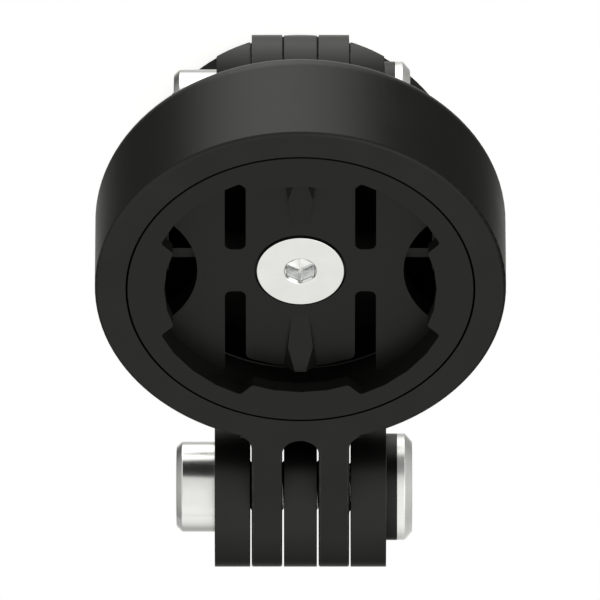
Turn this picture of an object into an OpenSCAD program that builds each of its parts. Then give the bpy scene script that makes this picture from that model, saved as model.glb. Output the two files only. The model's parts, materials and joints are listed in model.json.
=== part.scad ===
// Tilting mount for a bicycle computer: a round bayonet receiver on a link with two clamped hinges,
// standing on a round cap. All sizes are in millimetres. +Z is up, +Y is forward.

/* [Cap] */
// Diameter of the round cap
cap_d = 32; // [31:0.5:36]
// Thickness of the cap's disc
cap_h = 6.5; // [5:0.5:7]
// Width of the chamfer round the cap's lower edge
cap_chamfer = 0.5; // [0.2:0.1:0.8]
// Diameter of the bore for the M6 bolt that holds the cap down
cap_bore_d = 6.4; // [6.2:0.1:6.8]
// Diameter of the recess for that bolt's head
cap_recess_d = 10.2; // [9.8:0.1:10.4]
// Thickness of the cap left under the bolt's head
cap_web = 3; // [2.5:0.1:4]

/* [Hinges] */
// Distance from the cap's centre to the lower hinge's axis
cap_hinge_y = 8.5; // [8.3:0.1:9.5]
// Height of both hinge axes above the cap's underside
hinge_z = 15; // [14.8:0.1:18]
// Radius of the fingers' round ends
finger_r = 7.5; // [7:0.1:7.6]
// Width of the middle finger of a three-finger end
middle_w = 3.1; // [2.8:0.02:3.2]
// Width across the inner faces of a two-finger end
fork_inner_w = 3.4; // [3.36:0.02:3.6]
// Width across the outer faces of a two-finger end
fork_outer_w = 9.14; // [8.8:0.02:9.2]
// Width between the outer fingers of a three-finger end
outer_inner_w = 9.4; // [9.36:0.02:9.6]
// Width of the cap's three fingers in all
cap_fingers_w = 15.7; // [15.2:0.1:16.2]
// Width of the link's three fingers in all
link_fingers_w = 16.06; // [15.6:0.02:16.2]
// Diameter of the hinge bolts
hinge_bolt_d = 5; // [4.8:0.1:5.1]
// Gap round a hinge bolt in the fingers that it passes through
bolt_gap = 0.05; // [0.02:0.01:0.08]

/* [Link] */
// Distance between the link's two hinge axes
link_l = 34.9; // [32:0.1:60]
// Height of the link's neck
neck_h = 7.6; // [6:0.1:7.8]
// Radius of the curves between the neck and the round ends
neck_blend_r = 4; // [3:0.5:5]
// Radius of the two curves where the neck widens
flare_r = 6; // [4:0.5:6]

/* [Receiver] */
// Tilt of the receiver's face from level
receiver_tilt = 41; // [41:1:60]
// Diameter of the receiver
receiver_d = 38.2; // [36:0.2:40]
// Thickness of the receiver
receiver_h = 12.2; // [11:0.1:12.4]
// Distance from the upper hinge's axis to the receiver's centre
receiver_reach = 31; // [30.6:0.1:34]
// Radius of the edge round the receiver's back
back_round = 2.55; // [1:0.05:2.8]
// Radius of the edge round the receiver's face
face_round = 0.35; // [0.1:0.05:0.5]
// Depth of the ledge that the bayonet insert rests on
ledge_depth = 5.07; // [4.6:0.01:5.4]

/* [Bayonet insert] */
// Diameter of the insert
insert_d = 32.1; // [31.8:0.1:32.4]
// Gap round the insert
insert_gap = 0.2; // [0.05:0.05:0.3]
// Depth of the bayonet's floor below the face
floor_depth = 2.75; // [2.4:0.05:3]
// Diameter of the bayonet's mouth between the lips
mouth_d = 28.28; // [27.8:0.02:28.6]
// Diameter inside the four lips
lip_d = 25.3; // [24.8:0.1:26]
// Thickness of the lips
lip_h = 1.3; // [1:0.1:1.6]
// Width of a sprung tongue
tongue_w = 10.14; // [9:0.02:10.4]
// Width of the slots beside the tongues
tongue_slot_w = 1.96; // [1.6:0.02:2.2]

/* [Hidden] */
$fn = 96;
corner_fn = 32;
eps = 0.01;
far = 40;

black = "#2b2b2d";
steel = "#cfd1d3";

// Hinges
bore_r = hinge_bolt_d / 2 + bolt_gap;
link_hinge_y = cap_hinge_y - link_l;
boss_d = 10;
boss_h = 1.03;

// Slots: a straight part past the fingers that turn in them, then a half round
cap_slot_l = finger_r + 0.4;
link_slot_l = finger_r + 2.2;
receiver_slot_l = receiver_reach - receiver_d / 2 - 1.4;

// Hinge bolt: socket head cap screw
head_d = 8.48;
head_h = 5;
head_chamfer = 0.54;
hex_key = 4;
hex_depth = 2.6;
cap_head_proud = 4.03;
link_head_proud = 3.6;
head_recess_gap = 0.12;

// Hinge nut: a hexagonal body in the finger under a round flange
flange_h = 1.41;
flange_band = 0.72;
flange_chamfer = 0.8;
nut_hex = 8;
nut_body_h = 3;
nut_gap = 0.06;
bolt_end_gap = 0.3;

// Link
neck_blend_c = [sqrt((finger_r + neck_blend_r) ^ 2 - (neck_h / 2 + neck_blend_r) ^ 2),
                neck_h / 2 + neck_blend_r];
neck_blend_t = neck_blend_c * finger_r / (finger_r + neck_blend_r);
flare_dx = (link_fingers_w - fork_outer_w) / 2;
flare_angle = acos(1 - flare_dx / (2 * flare_r));
flare_dy = flare_r * sin(flare_angle);
flare_start = 11;

// Receiver: its hinge is at the origin, its centre lies along +Y and its face looks along +Z
receiver_r = receiver_d / 2;
face_z = finger_r;
back_z = face_z - receiver_h;
pocket_r = insert_d / 2 + insert_gap;
well_r = mouth_d / 2;
well_depth = 9.5;
boss_r = 4.6;
rib_w = 1.1;
rib_pad = [1.9, 4.5];
rib_pad_depth = 5.4;
ledge_chamfer = 0.2;
undercut_y = 10.2;
undercut_top = 2;
undercut_r = (undercut_y ^ 2 + undercut_top ^ 2 - finger_r ^ 2) / (2 * (finger_r - undercut_top));
undercut_z = -undercut_top - undercut_r;
arm_fillet = 1.7;

// Bayonet insert
lip_flank = [[11.3, 3.97], [13.6, 6.27]];
lip_round = 0.4;
tongue_start = 2.57;
tongue_end_r = 11.85;
tongue_round = 0.7;
tongue_slot_round = 0.65;
tongue_t = 1.5;
side_hole_x = 17.5;
side_hole_r = 7.92;
// Each tongue's ridge: [distance from the centre, half width, height]
ridge_foot = [[5.5, 0.8, 0], [11.8, 1.52, 0]];
ridge_top = [[9, 1.16, 0.55], [11.65, 0.5, 1]];

// Insert screw: M4 countersunk
screw_head_d = 8.13;
screw_band = 0.3;
screw_proud = 0.17;
screw_d = 4;
screw_l = 8;
screw_hex = 2.5;
screw_hex_lead_d = 3.06;
screw_hex_depth = 1.6;
screw_recess_d = 8.56;
screw_recess_depth = 0.35;

// Extrudes a shape drawn in Y and Z along X, from x0 to x1
module along_x(x0, x1) {
    translate([x0, 0, 0]) rotate([90, 0, 90]) linear_extrude(x1 - x0) children();
}

// Turns a piece made along +Z so that it lies along +X
module lay_along_x() {
    rotate([0, 90, 0]) children();
}

module both_sides() {
    children();
    mirror([1, 0, 0]) children();
}

module at_cap_hinge() {
    translate([0, cap_hinge_y, hinge_z]) children();
}

module at_link_hinge() {
    translate([0, link_hinge_y, hinge_z]) children();
}

module in_receiver() {
    at_link_hinge() rotate([receiver_tilt, 0, 0]) children();
}

// Puts a piece made round the origin, with its face at z = 0, on the receiver's axis
module on_receiver_axis() {
    in_receiver() translate([0, receiver_reach, face_z]) children();
}

// Slot of width w from y = -far to y = l, with a half round end, cut right through along Z
module slot(w, l) {
    translate([-w / 2, -far, -far]) cube([w, far + l, 2 * far]);
    translate([0, l, -far]) cylinder(d = w, h = 2 * far);
}

// Straight hole for a hinge bolt through fingers of width w, with the head's recess on the -X side
module bolt_hole(w, head_proud) {
    lay_along_x() translate([0, 0, -far]) cylinder(r = bore_r, h = 2 * far);
    recess_x = -w / 2 - head_proud + head_h;
    lay_along_x() translate([0, 0, -far]) cylinder(r = head_d / 2 + head_recess_gap, h = far + recess_x);
}

// Hexagonal pocket for the hinge nut, in the face at x = end
module nut_pocket(end) {
    lay_along_x() translate([0, 0, end - nut_body_h - nut_gap])
        cylinder(d = (nut_hex + 2 * nut_gap) / cos(30), h = far, $fn = 6);
}

module nut_boss(w) {
    lay_along_x() translate([0, 0, w / 2 - eps]) cylinder(d = boss_d, h = boss_h + eps);
}

// Socket head bolt along +Z: the outer end of its head is at z = 0
module hinge_bolt(l) {
    difference() {
        rotate_extrude() polygon([
            [0, 0],
            [head_d / 2 - head_chamfer, 0],
            [head_d / 2, head_chamfer],
            [head_d / 2, head_h],
            [hinge_bolt_d / 2, head_h],
            [hinge_bolt_d / 2, l - 0.5],
            [hinge_bolt_d / 2 - 0.5, l],
            [0, l]
        ]);
        translate([0, 0, -eps]) cylinder(d = hex_key / cos(30), h = hex_depth, $fn = 6);
    }
}

// Nut along +Z: its body is below z = 0 and its round flange above it
module hinge_nut() {
    difference() {
        union() {
            translate([0, 0, -nut_body_h]) cylinder(d = nut_hex / cos(30), h = nut_body_h + eps, $fn = 6);
            rotate_extrude() polygon([
                [0, 0],
                [boss_d / 2, 0],
                [boss_d / 2, flange_band],
                [boss_d / 2 - flange_chamfer, flange_h],
                [0, flange_h]
            ]);
        }
        translate([0, 0, -far / 2]) cylinder(d = hinge_bolt_d, h = far);
    }
}

// Length of a hinge bolt that ends just inside its nut
function bolt_l(w, head_proud) = head_proud + w + boss_h + flange_h - bolt_end_gap;

module base_cap() color(black) {
    difference() {
        union() {
            cap_disc();
            intersection() {
                at_cap_hinge() cap_fingers();
                cylinder(d = cap_d, h = far);
            }
            at_cap_hinge() nut_boss(cap_fingers_w);
        }
        at_cap_hinge() bolt_hole(cap_fingers_w, cap_head_proud);
        at_cap_hinge() nut_pocket(cap_fingers_w / 2 + boss_h);
        translate([0, 0, -eps]) cylinder(d = cap_bore_d, h = far);
        translate([0, 0, cap_web]) cylinder(d = cap_recess_d, h = far);
    }
}

module cap_disc() {
    rotate_extrude() polygon([
        [0, 0],
        [cap_d / 2 - cap_chamfer, 0],
        [cap_d / 2, cap_chamfer],
        [cap_d / 2, cap_h],
        [0, cap_h]
    ]);
}

module cap_fingers() {
    both_sides() along_x(outer_inner_w / 2, cap_fingers_w / 2) cap_finger_side();
    along_x(-middle_w / 2, middle_w / 2) cap_finger_side();
}

module cap_finger_side() {
    circle(r = finger_r);
    translate([-finger_r, -hinge_z + cap_h - eps]) square([2 * finger_r, hinge_z - cap_h + eps]);
}

module base_hinge_bolt() color(steel) {
    at_cap_hinge() translate([-cap_fingers_w / 2 - cap_head_proud, 0, 0]) lay_along_x()
        hinge_bolt(bolt_l(cap_fingers_w, cap_head_proud));
}

module base_hinge_nut() color(steel) {
    at_cap_hinge() translate([cap_fingers_w / 2 + boss_h, 0, 0]) lay_along_x() hinge_nut();
}

module link_arm() color(black) {
    at_link_hinge() difference() {
        union() {
            intersection() {
                along_x(-link_fingers_w / 2, link_fingers_w / 2) link_side();
                translate([0, 0, -finger_r]) linear_extrude(2 * finger_r) link_plan();
            }
            nut_boss(link_fingers_w);
        }
        both_sides() translate([(middle_w + outer_inner_w) / 4, 0, 0])
            slot((outer_inner_w - middle_w) / 2, link_slot_l);
        bolt_hole(link_fingers_w, link_head_proud);
        nut_pocket(link_fingers_w / 2 + boss_h);
        translate([0, link_l, 0]) {
            mirror([0, 1, 0]) slot(fork_inner_w, cap_slot_l);
            lay_along_x() translate([0, 0, -far / 2]) cylinder(r = bore_r, h = far);
        }
    }
}

// The link seen from the side, with the upper hinge at the origin and the lower one at y = link_l
module link_side() {
    link_end_side();
    translate([link_l, 0]) mirror([1, 0]) link_end_side();
    translate([neck_blend_c.x - eps, -neck_h / 2]) square([link_l - 2 * neck_blend_c.x + 2 * eps, neck_h]);
}

module link_end_side() {
    circle(r = finger_r);
    difference() {
        translate([0, -neck_blend_t.y]) square([neck_blend_c.x, 2 * neck_blend_t.y]);
        translate(neck_blend_c) circle(r = neck_blend_r);
        translate([neck_blend_c.x, -neck_blend_c.y]) circle(r = neck_blend_r);
    }
}

// The link seen from above: wide at the upper hinge, and waisted to the two-finger end by two arcs a side
module link_plan() {
    wide_end = link_l - flare_start - 2 * flare_dy;
    translate([-fork_outer_w / 2, -finger_r]) square([fork_outer_w, link_l + 2 * finger_r]);
    translate([-link_fingers_w / 2, -finger_r]) square([link_fingers_w, finger_r + wide_end]);
    both_sides() translate([0, wide_end]) {
        intersection() {
            translate([link_fingers_w / 2 - flare_r, 0]) circle(r = flare_r);
            square([link_fingers_w / 2, flare_dy]);
        }
        difference() {
            translate([0, flare_dy]) square([(fork_outer_w + flare_dx) / 2, flare_dy]);
            translate([fork_outer_w / 2 + flare_r, 2 * flare_dy]) circle(r = flare_r);
        }
    }
}

module link_hinge_bolt() color(steel) {
    at_link_hinge() translate([-link_fingers_w / 2 - link_head_proud, 0, 0]) lay_along_x()
        hinge_bolt(bolt_l(link_fingers_w, link_head_proud));
}

module link_hinge_nut() color(steel) {
    at_link_hinge() translate([link_fingers_w / 2 + boss_h, 0, 0]) lay_along_x() hinge_nut();
}

module receiver_body() color(black) {
    on_receiver_axis() difference() {
        receiver_disc();
        receiver_pocket();
        translate([0, -receiver_reach, -face_z]) slot(fork_inner_w, receiver_slot_l);
    }
    in_receiver() difference() {
        union() {
            along_x(-fork_outer_w / 2, fork_outer_w / 2) receiver_arm_side();
            both_sides() receiver_arm_fillet();
        }
        slot(fork_inner_w, receiver_slot_l);
        lay_along_x() translate([0, 0, -far / 2]) cylinder(r = bore_r, h = far);
        translate([0, receiver_reach, back_z - far]) cylinder(r = receiver_r - 2, h = 2 * far);
    }
}

module receiver_disc() {
    rotate_extrude() {
        translate([0, -receiver_h]) square([receiver_r - back_round, receiver_h]);
        translate([0, -receiver_h + back_round]) square([receiver_r, receiver_h - back_round - face_round]);
        translate([0, -face_round - eps]) square([receiver_r - face_round, face_round + eps]);
        intersection() {
            translate([receiver_r - back_round, -receiver_h + back_round]) circle(r = back_round);
            translate([0, -receiver_h]) square([receiver_r, back_round]);
        }
        translate([receiver_r - face_round, -face_round]) circle(r = face_round);
    }
}

// Round pocket for the insert, with a well below its ledge, a screw boss and two ribs
module receiver_pocket() {
    translate([0, 0, -ledge_depth]) cylinder(r = pocket_r, h = far);
    difference() {
        translate([0, 0, -well_depth]) cylinder(r = well_r, h = far);
        translate([0, 0, -well_depth - eps]) cylinder(r = boss_r, h = well_depth - ledge_depth + eps);
        translate([-well_r, -rib_w / 2, -well_depth - eps])
            cube([2 * well_r, rib_w, well_depth - ledge_depth + eps]);
        both_sides() translate([well_r - rib_pad.x, -rib_pad.y / 2, -well_depth - eps])
            cube([rib_pad.x + 1, rib_pad.y, well_depth - rib_pad_depth + eps]);
    }
    translate([0, 0, -ledge_depth - ledge_chamfer]) cylinder(
        r1 = well_r,
        r2 = well_r + ledge_chamfer + eps,
        h = ledge_chamfer + eps
    );
    translate([0, 0, -screw_l - floor_depth - 0.5]) cylinder(d = screw_d, h = far);
}

// One arm from the side: a round end, a straight front edge and a round undercut below it
module receiver_arm_side() {
    difference() {
        union() {
            circle(r = finger_r);
            polygon([
                [0, finger_r],
                [0, 0],
                [undercut_y, back_z],
                [receiver_reach - receiver_r + 4, back_z],
                [receiver_reach - receiver_r + 4, finger_r]
            ]);
        }
        translate([undercut_y, undercut_z]) circle(r = undercut_r);
    }
}

// Hollow corner between an arm and the receiver's round wall
module receiver_arm_fillet() {
    x = fork_outer_w / 2 + arm_fillet;
    y = receiver_reach - sqrt((receiver_r + arm_fillet) ^ 2 - x ^ 2);
    touch = [x, y - receiver_reach] * receiver_r / (receiver_r + arm_fillet) + [0, receiver_reach];
    translate([0, 0, back_z + back_round]) linear_extrude(receiver_h - back_round) difference() {
        polygon([[x - arm_fillet - eps, y], [x, y], touch, [x - arm_fillet - eps, touch.y + 0.5]]);
        translate([x, y]) circle(r = arm_fillet);
    }
}

module bayonet_insert() color(black) on_receiver_axis() {
    difference() {
        union() {
            difference() {
                translate([0, 0, -ledge_depth]) cylinder(d = insert_d, h = ledge_depth);
                translate([0, 0, -floor_depth]) cylinder(d = mouth_d, h = floor_depth - lip_h + eps);
                translate([0, 0, -lip_h]) linear_extrude(lip_h + eps) mouth();
            }
            for (i = [0:1]) rotate(180 * i) detent_ridge();
        }
        for (i = [0:1]) rotate(180 * i) tongue_cut();
        both_sides() side_hole();
        screw_seat();
    }
}

// Rounds the outer corners of a flat shape
module rounded(r) {
    offset(r = r, $fn = corner_fn) offset(delta = -r) children();
}

// The mouth between the lips: a circle with four rounded lips that stand in from it
module mouth() {
    offset(r = -lip_round, $fn = corner_fn) offset(r = 2 * lip_round, $fn = corner_fn)
        offset(r = -lip_round, $fn = corner_fn) difference() {
            circle(d = mouth_d);
            for (i = [0:3]) rotate(90 * i) difference() {
                polygon([for (side = [1, -1], p = side > 0 ? lip_flank : [lip_flank[1], lip_flank[0]])
                    [p.x, side * p.y]]);
                circle(d = lip_d);
            }
            for (i = [0:3]) rotate(90 * i) translate([lip_flank[1].x, -lip_flank[1].y])
                square([2, 2 * lip_flank[1].y]);
        }
}

// Ridge on a tongue: it rises outwards, narrows at its top and ends in a steep step
module detent_ridge() {
    translate([0, 0, -floor_depth]) hull() for (side = [1, -1], p = concat(ridge_foot, ridge_top))
        translate([side * p[1], p[0], p[2] - 0.05]) cube([eps, eps, 0.05]);
}

// A tongue seen from the front, as far inwards as its root
module tongue_plan() {
    rounded(tongue_round) intersection() {
        circle(r = tongue_end_r);
        translate([-tongue_w / 2, -tongue_round]) square([tongue_w, far]);
    }
}

// The slots that free a tongue, the gap at its end and the hollow under it
module tongue_cut() {
    half = tongue_w / 2;
    translate([0, 0, -ledge_depth - eps]) linear_extrude(ledge_depth - floor_depth + 2 * eps)
        intersection() {
            circle(d = mouth_d);
            union() {
                both_sides() rounded(tongue_slot_round) translate([half, tongue_start])
                    square([tongue_slot_w, far]);
                difference() {
                    translate([-half - eps, tongue_end_r / 2]) square([tongue_w + 2 * eps, far]);
                    tongue_plan();
                }
            }
        }
    translate([-half, boss_r, -ledge_depth - eps])
        cube([tongue_w, tongue_end_r - boss_r, ledge_depth - floor_depth - tongue_t + eps]);
}

module side_hole() {
    translate([0, 0, -ledge_depth - eps]) linear_extrude(ledge_depth - floor_depth + 2 * eps)
        intersection() {
            circle(d = mouth_d);
            translate([side_hole_x, 0]) circle(r = side_hole_r);
        }
}

// Countersunk seat: a shallow recess round the head, then a cone that the head lies on
module screw_seat() {
    cone_top = -floor_depth + screw_proud - screw_band;
    cone_h = (screw_head_d - screw_d) / 2;
    translate([0, 0, -floor_depth - screw_recess_depth]) cylinder(d = screw_recess_d, h = far);
    translate([0, 0, cone_top - cone_h]) cylinder(d1 = screw_d, d2 = screw_head_d, h = cone_h);
    translate([0, 0, -far / 2]) cylinder(d = screw_d + 0.2, h = far / 2);
}

module insert_screw() color(steel) on_receiver_axis() {
    head_top = -floor_depth + screw_proud;
    cone_h = (screw_head_d - screw_d) / 2;
    difference() {
        translate([0, 0, head_top]) rotate_extrude() polygon([
            [0, 0],
            [screw_head_d / 2, 0],
            [screw_head_d / 2, -screw_band],
            [screw_d / 2, -screw_band - cone_h],
            [screw_d / 2, -screw_l + 0.4],
            [screw_d / 2 - 0.4, -screw_l],
            [0, -screw_l]
        ]);
        translate([0, 0, head_top - screw_hex_depth]) cylinder(d = screw_hex / cos(30), h = far, $fn = 6);
        translate([0, 0, head_top - 0.28]) cylinder(d1 = 2.5, d2 = screw_hex_lead_d, h = 0.28 + eps);
    }
}

base_cap();
base_hinge_bolt();
base_hinge_nut();
link_arm();
link_hinge_bolt();
link_hinge_nut();
receiver_body();
bayonet_insert();
insert_screw();
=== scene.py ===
import json
from math import cos, radians, sin

import bmesh
import bpy
from mathutils import Matrix, Vector


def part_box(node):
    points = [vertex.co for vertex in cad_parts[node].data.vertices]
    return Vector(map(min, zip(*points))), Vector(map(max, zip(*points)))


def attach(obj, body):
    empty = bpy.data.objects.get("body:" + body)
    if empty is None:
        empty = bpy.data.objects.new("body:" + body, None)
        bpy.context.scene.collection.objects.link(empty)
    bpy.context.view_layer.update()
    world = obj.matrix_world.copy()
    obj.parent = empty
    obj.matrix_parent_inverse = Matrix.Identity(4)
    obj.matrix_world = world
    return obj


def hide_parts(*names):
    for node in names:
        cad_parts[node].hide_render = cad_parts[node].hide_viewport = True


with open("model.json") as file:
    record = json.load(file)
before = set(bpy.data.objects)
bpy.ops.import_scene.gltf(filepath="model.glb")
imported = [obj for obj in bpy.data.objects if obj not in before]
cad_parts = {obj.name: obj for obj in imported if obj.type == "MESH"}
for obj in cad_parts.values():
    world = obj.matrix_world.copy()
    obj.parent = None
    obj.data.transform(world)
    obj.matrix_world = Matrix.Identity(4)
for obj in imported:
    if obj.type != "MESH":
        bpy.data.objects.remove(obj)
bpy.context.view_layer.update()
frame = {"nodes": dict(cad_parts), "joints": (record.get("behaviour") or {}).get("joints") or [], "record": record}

mm = 0.001
tiny = 0.001 * mm    # made points this close are one point
small = 0.002 * mm   # the same for the frame's points, and how far a point may be off a plane
print("frame loaded:", len(frame["nodes"]), "nodes")


def towards(bearing, height):
    # a direction in degrees: bearing 0 is along +Y and 90 along +X, height is above the level
    level = cos(radians(height))
    return Vector((level * sin(radians(bearing)), level * cos(radians(bearing)),
                   sin(radians(height))))


# camera: straight above the cap, from so far away that nothing tapers
cameraLook = {
    "aim": (-0.04 * mm, -8.88 * mm, 27 * mm),   # middle of the view
    "width": 56.02 * mm,                        # seen at the height of the aim
    "lens": 1600,
    "sensor": 36,
}


def makeCamera(look):
    lensData = bpy.data.cameras.new("studioCamera")
    lensData.lens = look["lens"]
    lensData.sensor_width = look["sensor"]
    distance = look["width"] * look["lens"] / look["sensor"]
    lensData.clip_start = distance * 0.5
    lensData.clip_end = distance * 2
    camera = bpy.data.objects.new("studioCamera", lensData)
    camera.location = Vector(look["aim"]) + Vector((0, 0, distance))
    bpy.context.scene.collection.objects.link(camera)
    bpy.context.scene.camera = camera


makeCamera(cameraLook)
print("camera set")


# shader helpers
class Wire:
    # a node's output socket that can be used in sums
    def __init__(self, tree, socket):
        self.tree = tree
        self.socket = socket

    def maths(self, operation, first, second):
        node = self.tree.nodes.new("ShaderNodeMath")
        node.operation = operation
        for slot, value in zip(node.inputs, (first, second)):
            if isinstance(value, Wire):
                self.tree.links.new(value.socket, slot)
            else:
                slot.default_value = value
        return Wire(self.tree, node.outputs[0])

    def __add__(self, other):
        return self.maths("ADD", self, other)

    def __mul__(self, other):
        return self.maths("MULTIPLY", self, other)

    def __sub__(self, other):
        return self.maths("SUBTRACT", self, other)

    def __rsub__(self, other):
        return self.maths("SUBTRACT", other, self)

    __radd__ = __add__
    __rmul__ = __mul__


class Finish:
    # a material and the means to add nodes to it
    def __init__(self, name, owner=None):
        self.owner = owner or bpy.data.materials.new(name)
        self.owner.use_nodes = True
        self.tree = self.owner.node_tree
        self.tree.nodes.clear()

    def add(self, kind, settings=None, out=0, **sockets):
        node = self.tree.nodes.new(kind)
        for key, value in (settings or {}).items():
            if key == "stops":
                ramp = node.color_ramp
                for index, (place, shade) in enumerate(value):
                    stop = ramp.elements[index] if index < 2 else ramp.elements.new(place)
                    stop.position = place
                    stop.color = (*shade, 1)
            else:
                setattr(node, key, value)
        for key, value in sockets.items():
            # i0, i1 and so on by number, the others by name
            slot = node.inputs[int(key[1:]) if key[1:].isdigit() else key.replace("_", " ")]
            if isinstance(value, Wire):
                self.tree.links.new(value.socket, slot)
            else:
                slot.default_value = value
        return Wire(self.tree, node.outputs[out]) if node.outputs else node

    def mixColour(self, share, first, second):
        # between two colours, each a tuple or a wire
        first, second = ((*shade, 1) if isinstance(shade, tuple) else shade
                         for shade in (first, second))
        return self.add("ShaderNodeMix", {"data_type": "RGBA"}, out=2, i0=share, i6=first,
                        i7=second)

    def scaleColour(self, shade, by):
        # a colour made lighter or darker by a value
        grey = self.add("ShaderNodeCombineXYZ", X=by, Y=by, Z=by)
        return self.add("ShaderNodeVectorMath", {"operation": "MULTIPLY"}, i0=shade, i1=grey)

    def spread(self, wire, low, high, between):
        # stretches the values from low to high over the two given
        return self.add("ShaderNodeMapRange", i0=wire, i1=low, i2=high, i3=between[0],
                        i4=between[1])

    def close(self, shader):
        isWorld = isinstance(self.owner, bpy.types.World)
        self.add("ShaderNodeOutputWorld" if isWorld else "ShaderNodeOutputMaterial", Surface=shader)
        return self.owner


# light: a pale floor in a white room with four softboxes
floorLook = {
    "size": 3.0,
    "solid": 16.0 * mm,                        # from the cap's centre, where it starts to thin out
    "gone": 20.5 * mm,                         # and where it can't be seen any more
    "below": 0.02 * mm,                        # under the cap, so that the two don't share a plane
    "colour": (0.80, 0.80, 0.80),
    "roughness": 0.9,
    "glow": 0.52,                              # keeps the floor pale under the object too
}
roomLook = {
    "colour": (1.0, 1.0, 0.945),               # faintly yellow
    # brightness of the room by height, from straight below to straight above
    "heights": [(0.00, 0.85), (0.015, 0.80), (0.05, 0.14), (0.175, 0.12), (0.325, 0.36),
                (0.50, 0.50), (0.675, 0.92), (0.85, 0.84), (1.00, 0.98)],
    # softboxes: bearing and height, strength, and the angles at which each starts to fade and
    # is gone
    "softboxes": [
        {"from": (-7, -15), "strength": 2.55, "fade": (0, 38)},
        {"from": (193, 15), "strength": 0.32, "fade": (11, 62)},
        {"from": (112, 50), "strength": 0.86, "fade": (8, 41)},
        {"from": (0, -56), "strength": 0.40, "fade": (4, 30)},
    ],
}


def makeFloor(look):
    plane = bmesh.new()
    bmesh.ops.create_grid(plane, x_segments=1, y_segments=1, size=look["size"] / 2,
                          matrix=Matrix.Translation((0, 0, -look["below"])))
    mesh = bpy.data.meshes.new("floor")
    plane.to_mesh(mesh)
    plane.free()
    floor = bpy.data.objects.new("floor", mesh)
    bpy.context.scene.collection.objects.link(floor)
    finish = Finish("floorPaint")
    coat = finish.add("ShaderNodeBsdfPrincipled", Base_Color=(*look["colour"], 1),
                      Roughness=look["roughness"], Emission_Color=(1, 1, 1, 1),
                      Emission_Strength=look["glow"])
    # clear from below and away from the cap, so that the underside and a lowered receiver
    # can be seen
    fromBelow = finish.add("ShaderNodeNewGeometry", out="Backfacing")
    place = finish.add("ShaderNodeTexCoord", out="Object")
    reach = finish.add("ShaderNodeVectorMath", {"operation": "LENGTH"}, out="Value", i0=place)
    thin = finish.add("ShaderNodeMapRange", {"interpolation_type": "SMOOTHSTEP"}, i0=reach,
                      i1=look["solid"], i2=look["gone"], i3=0.0, i4=1.0)
    seen = finish.add("ShaderNodeLightPath", out="Is Camera Ray")
    clear = finish.add("ShaderNodeBsdfTransparent")
    paint = finish.add("ShaderNodeMixShader", Fac=fromBelow + thin * seen, i1=coat, i2=clear)
    mesh.materials.append(finish.close(paint))
    floor.visible_glossy = False               # the metal mirrors the room, not the floor
    floor.visible_diffuse = False


def makeRoom(look):
    world = bpy.data.worlds.new("studioRoom")
    bpy.context.scene.world = world
    finish = Finish("studioRoom", world)
    outwards = finish.add("ShaderNodeTexCoord", out="Generated")
    height = finish.add("ShaderNodeSeparateXYZ", out="Z", Vector=outwards) * 0.5 + 0.5
    stops = [(place, (shade,) * 3) for place, shade in look["heights"]]
    grey = finish.add("ShaderNodeValToRGB", {"stops": stops}, Fac=height)
    strength = finish.add("ShaderNodeSeparateColor", out="Red", Color=grey)
    for box in look["softboxes"]:
        facing = finish.add("ShaderNodeVectorMath", {"operation": "DOT_PRODUCT"}, out="Value",
                            i0=outwards, i1=towards(*box["from"]))
        near, far = (cos(radians(angle)) for angle in box["fade"])
        glow = finish.add("ShaderNodeMapRange", {"interpolation_type": "SMOOTHSTEP"}, i0=facing,
                          i1=far, i2=near, i3=0.0, i4=box["strength"])
        strength = strength + glow
    light = finish.add("ShaderNodeBackground", Color=(*look["colour"], 1), Strength=strength)
    backdrop = finish.add("ShaderNodeBackground", Color=(1, 1, 1, 1), Strength=1.0)
    seen = finish.add("ShaderNodeLightPath", out="Is Camera Ray")
    # plain white behind the object, whatever lights it
    finish.close(finish.add("ShaderNodeMixShader", Fac=seen, i1=light, i2=backdrop))
    bpy.context.scene.view_settings.view_transform = "Standard"


makeFloor(floorLook)
makeRoom(roomLook)
print("floor and light set")


# finishes
anodisedLook = {
    "colour": (0.0265, 0.0266, 0.0263),
    "bareMetal": (0.070, 0.070, 0.070),   # where handling has worn the edges
    "roughness": 0.40,
    "patchRoughness": 0.10,
    "grainRoughness": 0.06,
    "wornRoughness": 0.08,                # smoother where it is worn
    "wear": (0.10, 0.85),                 # least and most on an edge
    "tone": (0.94, 1.06),                 # darkest and lightest patches
    "patch": 220.0,                       # patches and streaks to a metre
    "streak": 900.0,
    "grain": 0.10 * mm,                   # blasted before it was anodised
    "grainDepth": 0.004 * mm,
}


def blackAnodised(look):
    finish = Finish("blackAnodised")
    place = finish.add("ShaderNodeTexCoord", out="Object")
    grain = finish.add("ShaderNodeTexNoise", out="Fac", Vector=place, Scale=1 / look["grain"],
                       Detail=3.0, Roughness=0.6)
    patches = finish.add("ShaderNodeTexNoise", out="Fac", Vector=place, Scale=look["patch"],
                         Detail=4.0, Roughness=0.55)
    streaks = finish.add("ShaderNodeTexNoise", out="Fac", Vector=place, Scale=look["streak"],
                         Detail=6.0, Roughness=0.7)
    edge = finish.add("ShaderNodeAttribute", {"attribute_name": "wornEdge"}, out="Fac")
    wear = edge * finish.spread(streaks, 0.45, 0.70, look["wear"])
    colour = finish.mixColour(wear, look["colour"], look["bareMetal"])
    colour = finish.scaleColour(colour, finish.spread(patches, 0.30, 0.70, look["tone"]))
    rough = (look["roughness"] + (patches - 0.5) * look["patchRoughness"]
             + (grain - 0.5) * look["grainRoughness"] - wear * look["wornRoughness"])
    relief = finish.add("ShaderNodeBump", Strength=0.35, Distance=look["grainDepth"], Height=grain)
    coat = finish.add("ShaderNodeBsdfPrincipled", Base_Color=colour, Metallic=1.0, Roughness=rough,
                      Normal=relief)
    return finish.close(coat)


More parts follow.
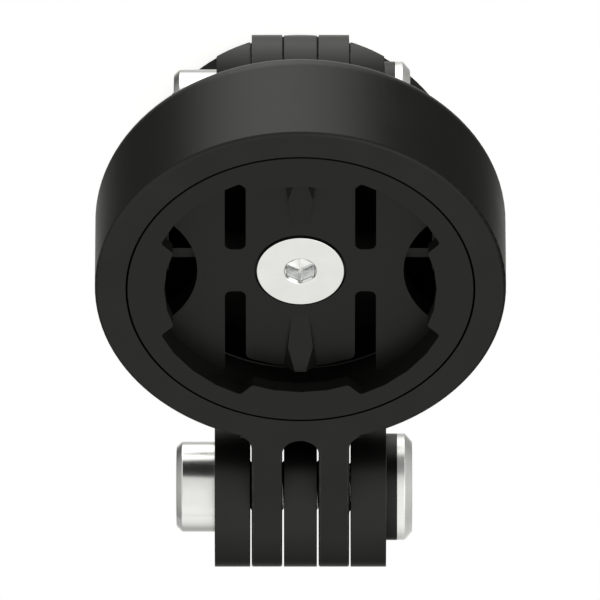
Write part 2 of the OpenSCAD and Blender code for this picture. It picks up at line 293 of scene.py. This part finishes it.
plasticLook = {
    "colour": (0.0045, 0.0046, 0.0044),
    "roughness": 0.46,
    "gloss": 0.22,
    "flowRoughness": 0.12,
    "pitRoughness": 0.05,
    "tone": (0.92, 1.08),                 # darkest and lightest flow marks
    "flow": 160.0,                        # flow marks to a metre
    "spark": 0.16 * mm,                   # spark-eroded mould texture
    "sparkDepth": 0.006 * mm,
}


def blackPlastic(look):
    finish = Finish("blackPlastic")
    place = finish.add("ShaderNodeTexCoord", out="Object")
    pits = finish.add("ShaderNodeTexVoronoi", {"feature": "SMOOTH_F1"}, out="Distance",
                      Vector=place, Scale=1 / look["spark"], Smoothness=0.6)
    flow = finish.add("ShaderNodeTexNoise", out="Fac", Vector=place, Scale=look["flow"], Detail=3.0,
                      Roughness=0.5)
    colour = finish.scaleColour(look["colour"], finish.spread(flow, 0.30, 0.70, look["tone"]))
    rough = (look["roughness"] + (flow - 0.5) * look["flowRoughness"]
             + (pits - 0.5) * look["pitRoughness"])
    relief = finish.add("ShaderNodeBump", Strength=0.4, Distance=look["sparkDepth"], Height=pits)
    body = finish.add("ShaderNodeBsdfPrincipled", Base_Color=colour, Roughness=rough, Normal=relief,
                      Specular_IOR_Level=look["gloss"])
    return finish.close(body)


steelLook = {
    "colour": (0.79, 0.795, 0.80),
    "roughness": 0.23,
    "metallic": 1.0,
    "markRoughness": 0.10,
    "smearRoughness": 0.08,
    "edgeRoughness": 0.05,                # smoother on the eased edges
    "tone": (0.95, 1.03),                 # darkest and lightest smears
    "smear": 420.0,                       # smears to a metre
    "toolMark": 0.05 * mm,                # width of one turning mark
    "markDepth": 0.0012 * mm,
}


def turnedSteel(name, look, centre, turn=(0, 0, 0)):
    # turning marks run round the piece's own axis, which the mapping lays along X through centre
    finish = Finish(name)
    place = finish.add("ShaderNodeTexCoord", out="Object")
    laid = finish.add("ShaderNodeMapping", {"vector_type": "TEXTURE"}, Vector=place,
                      Location=centre, Rotation=turn)
    along = finish.add("ShaderNodeSeparateXYZ", out="X", Vector=laid)
    flat = finish.add("ShaderNodeVectorMath", {"operation": "MULTIPLY"}, i0=laid, i1=(0, 1, 1))
    reach = finish.add("ShaderNodeVectorMath", {"operation": "LENGTH"}, out="Value", i0=flat)
    turned = finish.add("ShaderNodeCombineXYZ", X=along, Y=reach, Z=0.0)
    marks = finish.add("ShaderNodeTexNoise", {"noise_dimensions": "2D"}, out="Fac", Vector=turned,
                       Scale=1 / look["toolMark"], Detail=2.0, Roughness=0.6)
    smear = finish.add("ShaderNodeTexNoise", out="Fac", Vector=place, Scale=look["smear"],
                       Detail=5.0, Roughness=0.6)
    edge = finish.add("ShaderNodeAttribute", {"attribute_name": "wornEdge"}, out="Fac")
    colour = finish.scaleColour(look["colour"], finish.spread(smear, 0.25, 0.75, look["tone"]))
    rough = (look["roughness"] + (marks - 0.5) * look["markRoughness"]
             + (smear - 0.5) * look["smearRoughness"] - edge * look["edgeRoughness"])
    relief = finish.add("ShaderNodeBump", Strength=0.5, Distance=look["markDepth"], Height=marks)
    metal = finish.add("ShaderNodeBsdfPrincipled", Base_Color=colour, Metallic=look["metallic"],
                       Roughness=rough, Normal=relief)
    return finish.close(metal)


anodised = blackAnodised(anodisedLook)
moulded = blackPlastic(plasticLook)
print("finishes ready")


# turned steel pieces, made along +X from their outer end
turnedLook = {
    "segments": 96,
    "easeFrom": 30,          # edges sharper than this are eased, in degrees
    "easeRoom": 0.1,         # how far past the head or the flange they still are
    "drilled": 0.86,         # width of a socket's drilled bottom, to its hexagon
    "drillTip": 0.22,        # depth of the drill's cone, to the key
    "threadFlank": 0.85,     # half of a thread's foot, to half of its pitch
    "threadFoot": 0.2,       # how deep its foot is sunk in the core
    "threadSteps": 24,       # steps to a turn
    "runOut": 0.2,           # plain step before the thread
}


def once(items):
    # each item one time, in the order in which they come
    return list(dict.fromkeys(items))


def alongX(low, high):
    # picks the edges that lie between these distances along X
    return lambda edge: all(low * mm < vert.co.x < high * mm for vert in edge.verts)


def ringEdges(work, along):
    # the open edges that lie in the plane at this distance along X
    inPlane = alongX(along - small / mm, along + small / mm)
    return [edge for edge in work.edges if len(edge.link_faces) < 2 and inPlane(edge)]


def turnProfile(work, profile, segments):
    # spins a line of (along, radius) points round X
    line = [work.verts.new((along * mm, radius * mm, 0)) for along, radius in profile]
    edges = [work.edges.new(pair) for pair in zip(line, line[1:])]
    bmesh.ops.spin(work, geom=line + edges, cent=(0, 0, 0), axis=(1, 0, 0), angle=radians(360),
                   steps=segments, use_merge=True, use_duplicate=False)
    bmesh.ops.remove_doubles(work, verts=work.verts, dist=tiny)
    bmesh.ops.dissolve_degenerate(work, dist=tiny, edges=work.edges)


def hexRing(work, across, along, segments):
    # a hexagon of that width across its flats, cut into as many edges as a turned ring has
    place = Matrix.Translation((along * mm, 0, 0)) @ Matrix.Rotation(radians(90), 4, "Y")
    ring = bmesh.ops.create_circle(work, segments=6, radius=across * mm / 2 / cos(radians(30)),
                                   matrix=place)
    edges = once(edge for vert in ring["verts"] for edge in vert.link_edges)
    cut = bmesh.ops.subdivide_edges(work, edges=edges, cuts=segments // 6 - 1)
    return once(edges + [item for item in cut["geom_inner"] + cut["geom"]
                         if isinstance(item, bmesh.types.BMEdge)])


def pushRing(work, edges, by, shrink=1.0):
    # extrudes a ring of edges along X and may draw it in towards the axis
    pushed = bmesh.ops.extrude_edge_only(work, edges=edges)["geom"]
    verts = [item for item in pushed if isinstance(item, bmesh.types.BMVert)]
    bmesh.ops.translate(work, vec=(by * mm, 0, 0), verts=verts)
    bmesh.ops.scale(work, vec=(1, shrink, shrink), verts=verts)
    return [item for item in pushed if isinstance(item, bmesh.types.BMEdge)
            and all(vert in verts for vert in item.verts)]


def hexSocket(work, look):
    # lead-in cone, six flats and a drilled bottom, from the open ring at the piece's outer end
    rim = hexRing(work, look["key"], look["leadDepth"], look["segments"])
    bmesh.ops.bridge_loops(work, edges=ringEdges(work, 0) + rim)
    floorRing = pushRing(work, rim, look["keyDepth"] - look["leadDepth"])
    drillRing = pushRing(work, floorRing, 0, look["drilled"])
    tip = pushRing(work, drillRing, look["key"] * look["drillTip"], 0)
    tipVerts = once(vert for edge in tip for vert in edge.verts)
    bmesh.ops.remove_doubles(work, verts=tipVerts, dist=tiny)


def easeEdges(work, width, fromAngle, where=None):
    # rounds the edges that are sharper than this, and marks the new faces as handled edges
    worn = work.faces.layers.float.get("wornEdge") or work.faces.layers.float.new("wornEdge")
    sharp = [edge for edge in work.edges
             if len(edge.link_faces) == 2 and edge.calc_face_angle(0) > radians(fromAngle)
             and (where is None or where(edge))]
    rounded = bmesh.ops.bevel(work, geom=sharp, offset=width * mm, offset_type="OFFSET",
                              affect="EDGES", segments=3, profile=0.5, material=-1,
                              clamp_overlap=False, loop_slide=True)
    for face in rounded["faces"]:
        face[worn] = 1


def threadRidge(work, look, start, turns):
    # one screw thread: a closed V that is spun while it moves along X
    root = look["shankR"] - look["threadDepth"]
    flank = look["pitch"] / 2 * look["threadFlank"]
    shape = [(start - flank, root), (start, look["shankR"]), (start + flank, root),
             (start, root - look["threadFoot"])]
    verts = [work.verts.new((along * mm, radius * mm, 0)) for along, radius in shape]
    edges = [work.edges.new(pair) for pair in zip(verts, verts[1:] + verts[:1])]
    steps = look["threadSteps"]
    bmesh.ops.spin(work, geom=verts + edges, cent=(0, 0, 0), axis=(1, 0, 0),
                   angle=radians(360) * turns, steps=steps * turns,
                   dvec=(look["pitch"] * mm / steps, 0, 0), use_duplicate=False)


sharpFrom = 36     # edges sharper than this aren't shaded smooth, in degrees
enlarged = 1000    # times, while the shading is weighted
bodyOfNode = {node: body for body, nodes in frame["record"]["behaviour"]["bodies"].items()
              for node in nodes}


def finishPiece(work, name, node, material, place=None):
    # the piece takes the CAD node's place and body, and the node is hidden
    bmesh.ops.recalc_face_normals(work, faces=work.faces)
    if place is not None:
        bmesh.ops.transform(work, matrix=place, verts=work.verts)
    for face in work.faces:
        face.smooth = True
    for edge in work.edges:
        edge.smooth = edge.calc_face_angle(0) < radians(sharpFrom)
    rough = bpy.data.meshes.new(name + "Rough")
    work.to_mesh(rough)
    work.free()
    inherited = rough.attributes.get("custom_normal")   # a CAD copy brings its own normals
    if inherited:
        rough.attributes.remove(inherited)
    rough.materials.append(material)
    piece = bpy.data.objects.new(name, rough)
    bpy.context.scene.collection.objects.link(piece)
    # flat faces stay flat beside their rounded edges; the weighting misses small faces, so it is
    # done on an enlarged mesh
    rough.transform(Matrix.Scale(enlarged, 4))
    weighted = piece.modifiers.new("weightedNormals", "WEIGHTED_NORMAL")
    weighted.keep_sharp = True
    graph = bpy.context.evaluated_depsgraph_get()
    shaded = bpy.data.meshes.new_from_object(piece.evaluated_get(graph))
    shaded.transform(Matrix.Scale(1 / enlarged, 4))
    shaded.name = name
    piece.modifiers.clear()
    piece.data = shaded
    bpy.data.meshes.remove(rough)
    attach(piece, bodyOfNode[node])
    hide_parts(node)
    return piece


# hinge bolt: socket head cap screw, M5
boltLook = turnedLook | {
    "headR": 4.24, "headH": 5.0, "chamfer": 0.54,
    "shankR": 2.5, "pitch": 0.8, "threadDepth": 0.42,
    "neck": 0.9,             # threaded up to its neck
    "threadStop": 0.6,       # from the end
    "endChamfer": (0.5, 0.3),
    "key": 4.0, "keyDepth": 2.6, "leadR": 2.5, "leadDepth": 0.25,
    "ease": 0.09,            # how far the edges of its head are eased
    "finish": {"colour": (0.71, 0.715, 0.72)},   # a darker steel than the screw
}


def makeHingeBolt(name, node, material, look):
    low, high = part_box(node)
    length = (high.x - low.x) / mm
    core = look["shankR"] - look["threadDepth"]
    threadStart = look["headH"] + look["neck"]
    turns = int((length - look["threadStop"] - threadStart) / look["pitch"])
    endLength, endDepth = look["endChamfer"]
    work = bmesh.new()
    turnProfile(work, [
        (0, look["leadR"]),
        (0, look["headR"] - look["chamfer"]),
        (look["chamfer"], look["headR"]),
        (look["headH"], look["headR"]),
        (look["headH"], look["shankR"]),
        (threadStart - look["neck"] / 2, look["shankR"]),
        (threadStart, core),
        (length - endLength, core),
        (length, core - endDepth),
        (length, 0),
    ], look["segments"])
    hexSocket(work, look)
    onHead = alongX(-look["easeRoom"], look["headH"] + look["easeRoom"])
    easeEdges(work, look["ease"], look["easeFrom"], onHead)
    threadRidge(work, look, threadStart + look["runOut"], turns)
    place = Matrix.Translation((low.x, (low.y + high.y) / 2, (low.z + high.z) / 2))
    return finishPiece(work, name, node, material, place)


# hinge nut: a round flange with a hexagonal body let into the finger
nutLook = turnedLook | {
    "flangeR": 5.0, "flangeH": 1.41, "band": 0.72, "chamfer": 0.80,
    "hex": 8.0, "bodyH": 3.0,
    "boreR": 2.5, "countersink": 0.35,
    "ease": 0.07,
    # duller than the bolts
    "finish": {"colour": (0.80, 0.805, 0.81), "roughness": 0.32, "metallic": 0.62},
}


def makeHingeNut(name, node, material, look):
    low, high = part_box(node)
    work = bmesh.new()
    turnProfile(work, [
        (0, look["flangeR"]),
        (look["band"], look["flangeR"]),
        (look["flangeH"], look["flangeR"] - look["chamfer"]),
        (look["flangeH"], look["boreR"] + look["countersink"]),
        (look["flangeH"] - look["countersink"], look["boreR"]),
        (-look["bodyH"], look["boreR"]),
    ], look["segments"])
    rim = hexRing(work, look["hex"], 0, look["segments"])
    flangeRing = [edge for edge in ringEdges(work, 0) if edge not in rim]
    bmesh.ops.bridge_loops(work, edges=flangeRing + rim)
    boreRing = ringEdges(work, -look["bodyH"])
    back = pushRing(work, rim, -look["bodyH"])
    bmesh.ops.bridge_loops(work, edges=boreRing + back)
    onFlange = alongX(look["easeRoom"], look["flangeH"] + look["easeRoom"])
    easeEdges(work, look["ease"], look["easeFrom"], onFlange)
    inner = high.x - look["flangeH"] * mm
    place = Matrix.Translation((inner, (low.y + high.y) / 2, (low.z + high.z) / 2))
    return finishPiece(work, name, node, material, place)


# insert screw: M4 countersunk, on the receiver's axis
screwLook = turnedLook | {
    "headR": 4.065, "band": 0.30, "cone": 2.065, "shankR": 2.0, "length": 8.0,
    "pitch": 0.7, "threadDepth": 0.38, "turns": 6,
    "threadStop": 1.2,       # from the end, in pitches
    "endChamfer": (0.4, 0.3),
    "key": 2.5, "keyDepth": 1.95, "leadR": 1.53, "leadDepth": 0.28,
    "headTop": -2.58,        # from the receiver's face
    "ease": 0.06,
}


def makeInsertScrew(name, node, material, look, place):
    core = look["shankR"] - look["threadDepth"]
    neck = look["band"] + look["cone"]
    threadStart = look["length"] - (look["turns"] + look["threadStop"]) * look["pitch"]
    endLength, endDepth = look["endChamfer"]
    work = bmesh.new()
    turnProfile(work, [
        (0, look["leadR"]),
        (0, look["headR"]),
        (look["band"], look["headR"]),
        (neck, look["shankR"]),
        (threadStart - look["runOut"], look["shankR"]),
        (threadStart, core),
        (look["length"] - endLength, core),
        (look["length"], core - endDepth),
        (look["length"], 0),
    ], look["segments"])
    hexSocket(work, look)
    onHead = alongX(-look["easeRoom"], look["band"] + look["easeRoom"])
    easeEdges(work, look["ease"], look["easeFrom"], onHead)
    threadRidge(work, look, threadStart + look["runOut"], look["turns"])
    return finishPiece(work, name, node, material, place)


socket = next(mount for mount in frame["record"]["mounts"]
              if mount["name"] == "bayonet_socket")
faceCentre, faceAxis = Vector(socket["pos_m"]), Vector(socket["axis"])
screwTurn = (-faceAxis).to_track_quat("X", "Y")
screwTop = faceCentre + faceAxis * screwLook["headTop"] * mm
screwPlace = Matrix.Translation(screwTop) @ screwTurn.to_matrix().to_4x4()

for hinge in ("base", "link"):
    low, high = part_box(hinge + "_hinge_bolt")
    hingeLine = (0, (low.y + high.y) / 2, (low.z + high.z) / 2)
    steel = turnedSteel(hinge + "BoltSteel", steelLook | boltLook["finish"], hingeLine)
    makeHingeBolt(hinge + "HingeBolt", hinge + "_hinge_bolt", steel, boltLook)
    steel = turnedSteel(hinge + "NutSteel", steelLook | nutLook["finish"], hingeLine)
    makeHingeNut(hinge + "HingeNut", hinge + "_hinge_nut", steel, nutLook)
steel = turnedSteel("insertScrewSteel", steelLook, screwTop, screwTurn.to_euler())
makeInsertScrew("insertScrew", "insert_screw", steel, screwLook, screwPlace)
print("steel pieces made")


# milled pieces: merged copies of the frame's shapes with their edges eased; the moulded insert keeps the frame's
# shape
easedLook = {
    "base_cap": {"name": "baseCap", "ease": 0.07, "angle": 35},
    "link_arm": {"name": "linkArm", "ease": 0.05, "angle": 35},
    "receiver_body": {"name": "receiverBody", "ease": 0.18, "angle": 70,
                      "faceReach": 12.75, "backReach": 11.35},   # from the upper hinge
}
copyLook = {
    "sliver": 0.03 * mm,     # thinner faces are closed up
    "flat": 0.6,             # faces that differ by less are one, in degrees
    "faceRoom": 0.05 * mm,   # how far off the receiver's face still counts as on it
}
upperHinge = next(Vector(joint["pos_m"]) for joint in frame["joints"]
                  if joint["name"] == "receiver_hinge")
armAxis = faceAxis.cross(Vector((1, 0, 0)))   # from the upper hinge to the receiver's centre


def onArms(edge, look):
    # the face's edges are eased up to the web's corners, the others on the straight arms only
    onFace = all(abs((vert.co - faceCentre).dot(faceAxis)) < copyLook["faceRoom"]
                 for vert in edge.verts)
    reach = look["faceReach"] if onFace else look["backReach"]
    return all((vert.co - upperHinge).dot(armAxis) < reach * mm for vert in edge.verts)


def easedCopy(node, look, material):
    work = bmesh.new()
    work.from_mesh(frame["nodes"][node].data)
    bmesh.ops.remove_doubles(work, verts=work.verts, dist=small)
    bmesh.ops.dissolve_degenerate(work, dist=copyLook["sliver"], edges=work.edges)
    bmesh.ops.dissolve_limit(work, angle_limit=radians(copyLook["flat"]),
                             use_dissolve_boundaries=False, verts=work.verts, edges=work.edges,
                             delimit=set())
    armsOnly = (lambda edge: onArms(edge, look)) if "faceReach" in look else None
    easeEdges(work, look["ease"], look["angle"], armsOnly)
    return finishPiece(work, look["name"], node, material)


for node, look in easedLook.items():
    easedCopy(node, look, anodised)
# the cap is masked from the hinge bolts, which would mirror it
bpy.data.objects["baseCap"].visible_glossy = False
frame["nodes"]["bayonet_insert"].data.materials[0] = moulded   # keeps the frame's shape
print("black pieces made")


# low fill for the hinge bolts and nuts alone, so that their lower edges don't go grey
fillLook = {
    "from": (180, -37),                        # bearing and height from the object
    "away": 0.20,
    "size": 0.36,
    "power": 0.155,
    "colour": (1.0, 1.0, 0.945),
    "lit": ("baseHingeBolt", "baseHingeNut", "linkHingeBolt", "linkHingeNut"),
}


def makeFill(look):
    lampData = bpy.data.lights.new("lowFill", "AREA")
    lampData.size = look["size"]
    lampData.energy = look["power"]
    lampData.color = look["colour"]
    lamp = bpy.data.objects.new("lowFill", lampData)
    direction = towards(*look["from"])
    lamp.location = Vector(cameraLook["aim"]) + direction * look["away"]
    lamp.rotation_euler = direction.to_track_quat("Z", "Y").to_euler()
    lamp.visible_camera = False
    bpy.context.scene.collection.objects.link(lamp)
    lit = bpy.data.collections.new("litByLowFill")
    for name in look["lit"]:
        lit.objects.link(bpy.data.objects[name])
    lamp.light_linking.receiver_collection = lit


makeFill(fillLook)
print("fill light set")
